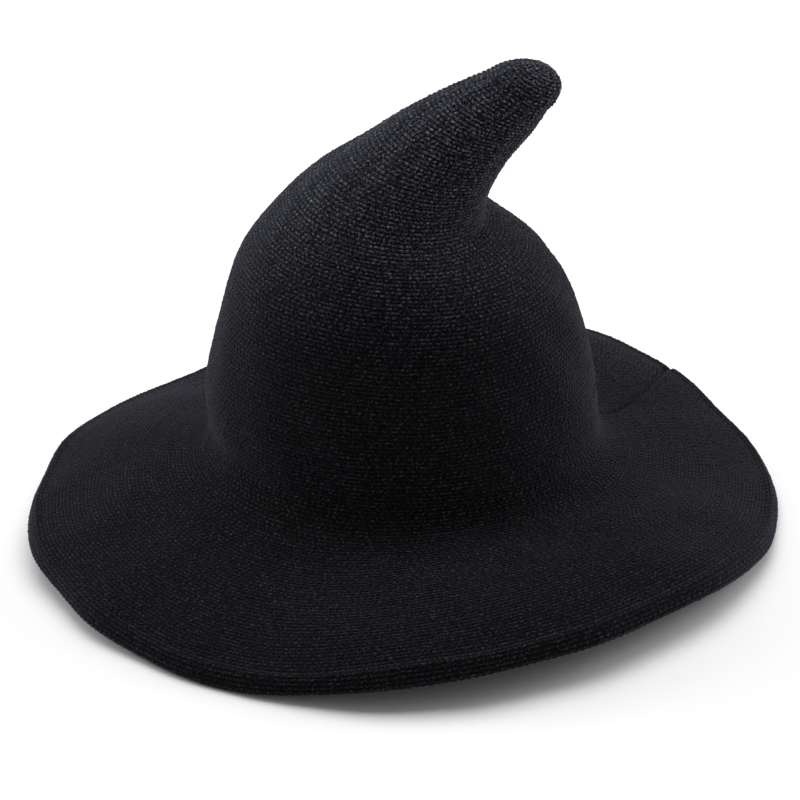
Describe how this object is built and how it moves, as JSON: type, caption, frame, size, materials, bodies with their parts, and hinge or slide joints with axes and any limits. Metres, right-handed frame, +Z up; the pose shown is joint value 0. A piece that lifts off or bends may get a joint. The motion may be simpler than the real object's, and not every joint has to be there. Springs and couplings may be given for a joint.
{
  "type": "witch hat",
  "caption": "Soft knitted witch hat with a round hollow crown, a bent hollow peak that can be tilted, and a wide wavy brim with a wired hem.",
  "frame": {"origin": "on the surface that the hat stands on, under the middle of the brim's outline", "axes": "+Z up out of the crown, +X the way the peak leans, +Y towards the back of the head; the wearer looks along -Y"},
  "size_m": [0.3826, 0.3722, 0.2514],
  "materials": {
    "knit_wool": "matte",
    "spring_steel": "satin",
    "crimp_metal": "satin",
    "sewing_thread": "satin",
    "grosgrain_ribbon": "satin",
    "label_ribbon": "satin"
  },
  "bodies": {
    "hat": {"brim": "knit_wool", "brim_hem": "knit_wool", "brim_seam": "knit_wool", "brim_wire": "spring_steel", "wire_sleeve": "crimp_metal", "hem_stitching": "sewing_thread", "crown": "knit_wool", "crown_seam": "knit_wool", "sweatband": "grosgrain_ribbon", "sweatband_stitching": "sewing_thread", "care_label": "label_ribbon"},
    "peak": {"peak": "knit_wool", "peak_seam": "knit_wool"}
  },
  "joints": [
    {"name": "peak_bend", "type": "hinge", "parent": "hat", "child": "peak", "pos_m": [0.0019, -0.0034, 0.179], "axis": [0, 1, 0], "range_deg": [-35, 25]}
  ]
}
